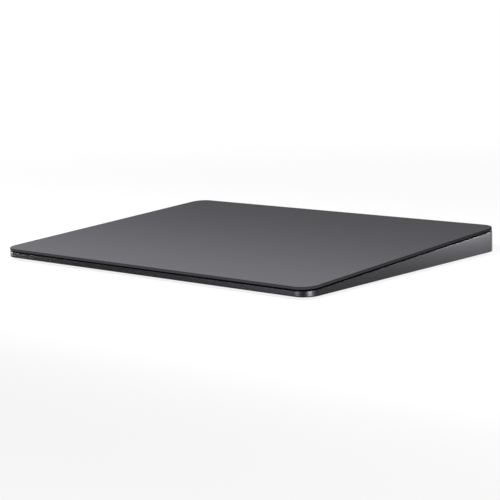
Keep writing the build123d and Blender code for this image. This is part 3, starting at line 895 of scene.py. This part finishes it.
class PAD_OT_feet(bpy.types.Operator):
    """Models one foot and copies it to the other corners"""

    bl_idname = "pad.feet"
    bl_label = "Feet"

    def execute(self, context):
        sizes, colours = context.scene.pad_sizes, context.scene.pad_colours
        paint = rubber(colours)
        middle = (foot_low + foot_high) / 2
        radius = (foot_high.x - foot_low.x) / 2
        first = new_disc("foot_pad_front_left", middle, radius, 0, foot_high.z, 96)
        with Shaping(first) as shape:
            shape.bevel(level(2, 0), sizes.foot_round, 5)
            shape.pick("FACE", level(2, 0))
            shape.inset(0.0012)
            shape.inset(0.0003)
            shape.pull((0, 0, 0.00012))
        for name in CORNERS[1:]:
            low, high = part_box("foot_" + name)
            shift = (low + high) / 2 - middle
            made = copy_of(first, "foot_pad_" + name, shift)
            complete(made, paint, "base", "foot_rubber", "foot_" + name)
        complete(first, paint, "base", "foot_rubber", "foot_" + CORNERS[0])
        return {"FINISHED"}


class PAD_OT_port(bpy.types.Operator):
    """Models the aerial window in the rear wall and the charging port's shell in it"""

    bl_idname = "pad.port"
    bl_label = "Window and port"

    def execute(self, context):
        sizes, colours = context.scene.pad_sizes, context.scene.pad_colours
        seam = Vector((sizes.seam, 0, sizes.seam))
        window = new_pill("aerial_window_plug", window_low + seam, window_high - seam, 0.00181, 16)
        with Shaping(window) as shape:
            shape.bevel(level(1, window_high.y), 0.00012, 3)
        gap = Vector((0.0001, 0, 0.0001))
        near = Vector((shell_low.x, window_low.y - PROUD, shell_low.z)) - gap
        far = Vector((shell_high.x, window_high.y + PROUD, shell_high.z)) + gap
        cut_away(window, new_pill("cutter", near, far, (far.z - near.z) / 2 - 0.000175, 16))
        paint = moulded("aerial_plastic", colours.window, 0.46, 3000, 0.000004)
        complete(window, paint, "base", "aerial_plastic", "aerial_window")
        wall = 0.00035
        radius = (shell_high.z - shell_low.z) / 2 - wall / 2
        shell = new_pill("port_sleeve", shell_low, shell_high, radius, 16)
        with Shaping(shell) as shape:
            shape.bevel(level(1, shell_high.y), 0.0001, 3)
            shape.pick("FACE", level(1, shell_high.y))
            shape.inset(wall - 0.0001)
            shape.pull((0, -0.0071, 0))
        steel = metal("port_steel", (0.38, 0.38, 0.4), 0.3, (1, 0.06, 1), 1600)
        complete(shell, steel, "base", "port_steel", "port_shell")
        return {"FINISHED"}


class PAD_OT_switch(bpy.types.Operator):
    """Models the switch's tray and its grooved knob, and paints the patch between them"""

    bl_idname = "pad.switch"
    bl_label = "Power switch"

    def execute(self, context):
        sizes, colours = context.scene.pad_sizes, context.scene.pad_colours
        seam = Vector((sizes.seam, 0, sizes.seam))
        tray = new_pill("switch_recess", tray_low + seam, tray_high - seam, 0.00126, 12)
        middle = (tray_low + tray_high) / 2
        recess = 0.00115
        with Shaping(tray) as shape:
            shape.bevel(level(1, tray_high.y), 0.00012, 3)
            shape.pick("FACE", level(1, tray_high.y))
            shape.inset(0.0005 - 0.00012 - sizes.seam)
            shape.pull((0, -recess, 0))
        slot_low = (middle.x - 0.00192, tray_low.y - PROUD, middle.z - 0.00052)
        slot_high = (middle.x + 0.00192, tray_high.y + PROUD, middle.z + 0.00052)
        cut_away(tray, new_block("cutter", slot_low, slot_high))
        dark = moulded("switch_plastic", (0.03, 0.03, 0.031), 0.5)
        complete(tray, dark, "base", "switch_plastic", "switch_tray")
        back = tray_high.y - recess + 0.00025
        knob = new_pill("switch_slider", (knob_low.x, back, knob_low.z), knob_high, 0.0009, 12)
        with Shaping(knob) as shape:
            shape.bevel(level(1, knob_high.y), 0.0001, 3)
        place = (knob_low + knob_high) / 2
        for i in (-1, 0, 1):
            x = place.x + i * 0.0008
            low = (x - 0.000175, knob_high.y - 0.0002, place.z - 0.0008)
            high = (x + 0.000175, knob_high.y + PROUD, place.z + 0.0008)
            groove = new_block("cutter", low, high)
            with Shaping(groove) as shape:
                shape.bevel(along(2), 0.00012, 3)
            cut_away(knob, groove)
        stem_low = (place.x - 0.0006, knob_low.y, place.z - 0.0004)
        stem = new_block("stem", stem_low, (place.x + 0.0006, back, place.z + 0.0004))
        merge(knob, [stem])
        grey = moulded("knob_plastic", colours.knob, 0.44, 3200, 0.000004)
        complete(knob, grey, "switch", "knob_plastic", "switch_knob")
        patch = moulded("green_film", colours.indicator, 0.4, 3600, 0.000003)
        frame["nodes"]["switch_indicator"].data.materials.clear()
        frame["nodes"]["switch_indicator"].data.materials.append(patch)
        return {"FINISHED"}


class PAD_OT_inside(bpy.types.Operator):
    """Paints the seal and everything inside the tub"""

    bl_idname = "pad.inside"
    bl_label = "Inner pieces"

    def execute(self, context):
        finishes = inner_finishes()
        for entry in frame["record"]["subparts"]:
            node = frame["nodes"][entry["node"]]
            if entry["material_slot"] in finishes and not node.hide_render:
                node.data.materials.clear()
                node.data.materials.append(finishes[entry["material_slot"]])
        return {"FINISHED"}


class PAD_PT_panel(bpy.types.Panel):
    """Lists the steps that dress the touch pad"""

    bl_idname = "PAD_PT_panel"
    bl_label = "Touch pad"
    bl_space_type = "VIEW_3D"
    bl_region_type = "UI"
    bl_category = "Touch pad"

    def draw(self, context):
        for group in ("pad_sizes", "pad_colours", "pad_stage"):
            column = self.layout.column(heading=group)
            values = getattr(context.scene, group)
            for name in values.__annotations__:
                column.prop(values, name)
        for step in STEPS:
            self.layout.operator(step.bl_idname)


STEPS = (PAD_OT_glass, PAD_OT_case, PAD_OT_feet, PAD_OT_port, PAD_OT_switch, PAD_OT_inside, PAD_OT_stage)
GROUPS = {"pad_sizes": PadSizes, "pad_colours": PadColours, "pad_stage": StageSettings}


def register():
    for made in (*GROUPS.values(), *STEPS, PAD_PT_panel):
        bpy.utils.register_class(made)
    for name, group in GROUPS.items():
        setattr(bpy.types.Scene, name, bpy.props.PointerProperty(type=group))


def unregister():
    for name in GROUPS:
        delattr(bpy.types.Scene, name)
    for made in reversed((*GROUPS.values(), *STEPS, PAD_PT_panel)):
        bpy.utils.unregister_class(made)


def main():
    register()
    for step in STEPS:
        group, name = step.bl_idname.split(".")
        getattr(getattr(bpy.ops, group), name)()


if __name__ == "__main__":
    main()
